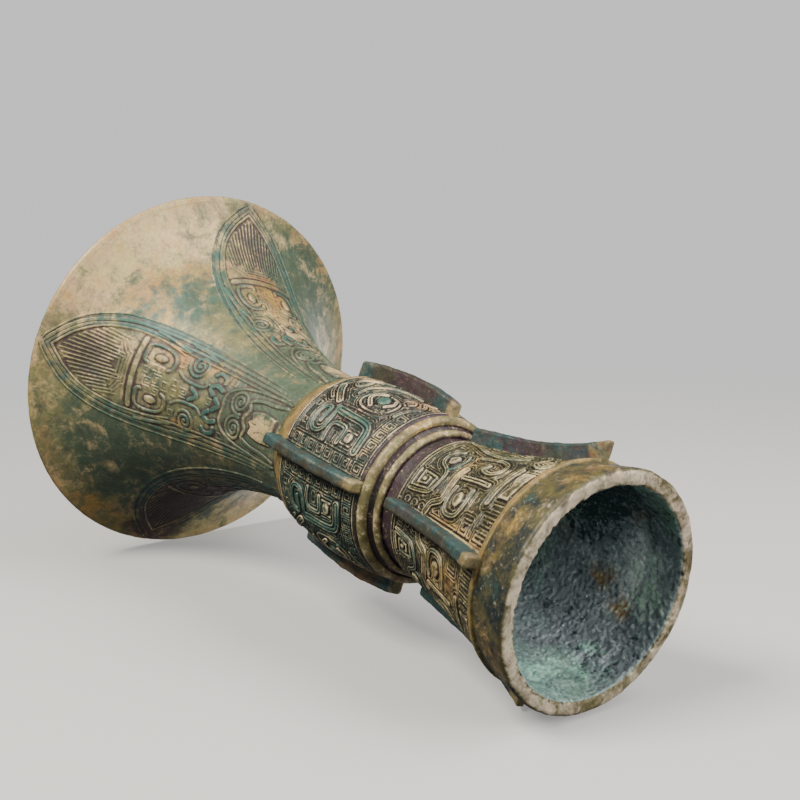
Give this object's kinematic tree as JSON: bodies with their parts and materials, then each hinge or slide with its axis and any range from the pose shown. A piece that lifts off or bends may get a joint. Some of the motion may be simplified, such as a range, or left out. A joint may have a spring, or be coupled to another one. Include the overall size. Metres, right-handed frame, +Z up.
{
  "type": "gu vessel",
  "caption": "Slender bronze ritual beaker with a trumpet mouth, leaf blades, masked belly, string ribs, side flanges and a flared hollow foot.",
  "frame": {"origin": "centre of the foot's underside, on the surface the vessel stands on", "axes": "+Z up along the vessel's axis towards the mouth; +X, +Y, -X and -Y each pass through a flange and a blade; the sides of the mask are mirrored about +X and -X"},
  "size_m": [0.158, 0.158, 0.26],
  "materials": {
    "mouth_lip": "worn tan edge with ochre earth and pale corrosion",
    "trumpet_wall": "cream and pinkish-beige corrosion with teal and ochre patches",
    "neck_wall": "deep teal and dark green patina",
    "shoulder_band": "smooth golden ochre over dark bronze",
    "belly_wall": "dark bronze with near-black ground",
    "cup_floor": "dark granular patina",
    "waist_band": "dark purple-brown recess",
    "string_ribs": "pale ivory-olive rubbed crests",
    "foot_wall": "dark teal and rust-brown granular patina inside",
    "foot_ridge": "golden ochre",
    "foot_ring": "green, ochre and dark patches, pale pinkish underside",
    "flanges": "blue-teal patina with ochre and rust at the edges",
    "blades": "pale worn crests over dark grooves",
    "masks": "ivory worn crests, dark grooves and teal raised figures"
  },
  "bodies": {
    "root": {"mouth_lip": "mouth_lip", "trumpet_wall": "trumpet_wall", "neck_wall": "neck_wall", "shoulder_band": "shoulder_band", "belly_wall": "belly_wall", "cup_floor": "cup_floor", "waist_band": "waist_band", "upper_string_rib": "string_ribs", "lower_string_rib": "string_ribs", "foot_wall": "foot_wall", "foot_ridge": "foot_ridge", "foot_ring": "foot_ring", "belly_flange_right": "flanges", "belly_flange_back": "flanges", "belly_flange_left": "flanges", "belly_flange_front": "flanges", "foot_flange_right": "flanges", "foot_flange_back": "flanges", "foot_flange_left": "flanges", "foot_flange_front": "flanges", "blade_right": "blades", "blade_back": "blades", "blade_left": "blades", "blade_front": "blades", "belly_mask_back_right": "masks", "belly_mask_back_left": "masks", "belly_mask_front_left": "masks", "belly_mask_front_right": "masks", "foot_mask_back_right": "masks", "foot_mask_back_left": "masks", "foot_mask_front_left": "masks", "foot_mask_front_right": "masks"}
  },
  "joints": []
}
